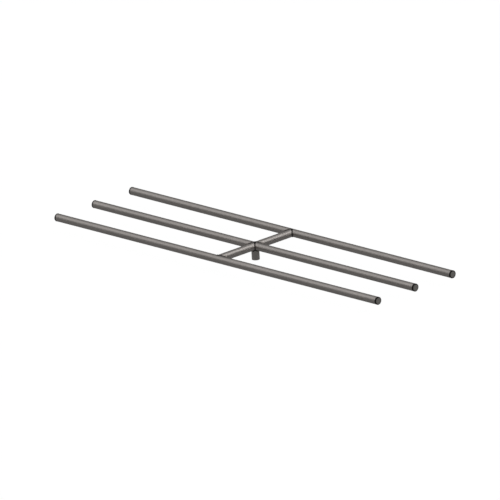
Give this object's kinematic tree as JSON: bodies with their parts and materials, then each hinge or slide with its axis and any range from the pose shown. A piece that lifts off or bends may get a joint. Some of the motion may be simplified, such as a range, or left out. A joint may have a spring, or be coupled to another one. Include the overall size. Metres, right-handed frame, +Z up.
{
  "type": "linear gas burner assembly",
  "caption": "Welded stainless pipe gas burner: long parallel ported rails, a crossbar through their middles, and a threaded inlet nipple under the crossing.",
  "frame": {"origin": "centre of the lower end face of the inlet nipple, which is also the centre of the bounding box's underside", "axes": "+X along the rails, +Y across them from the front rail to the rear rail, +Z up the nipple to the pipes"},
  "size_m": [1.2192, 0.2976, 0.0491],
  "materials": {
    "pipe_stainless": "mill-finish drawn pipe, satin, faint lengthwise grain",
    "nipple_stainless": "satin outside, cut thread inside",
    "cap_stainless": "satin, sawn and dressed face",
    "weld_bead": "weld metal under near-black heat scale, with fine ripples",
    "jet_brass": "machined"
  },
  "bodies": {
    "root": {"front_rail": "pipe_stainless", "centre_rail": "pipe_stainless", "rear_rail": "pipe_stainless", "front_crossbar": "pipe_stainless", "rear_crossbar": "pipe_stainless", "inlet_nipple": "nipple_stainless", "end_cap_front_left": "cap_stainless", "end_cap_front_right": "cap_stainless", "end_cap_centre_left": "cap_stainless", "end_cap_centre_right": "cap_stainless", "end_cap_rear_left": "cap_stainless", "end_cap_rear_right": "cap_stainless", "front_tee_weld": "weld_bead", "rear_tee_weld": "weld_bead", "cross_front_weld": "weld_bead", "cross_rear_weld": "weld_bead", "inlet_weld": "weld_bead", "cap_weld_front_left": "weld_bead", "cap_weld_front_right": "weld_bead", "cap_weld_centre_left": "weld_bead", "cap_weld_centre_right": "weld_bead", "cap_weld_rear_left": "weld_bead", "cap_weld_rear_right": "weld_bead", "gas_orifice": "jet_brass"}
  },
  "joints": []
}
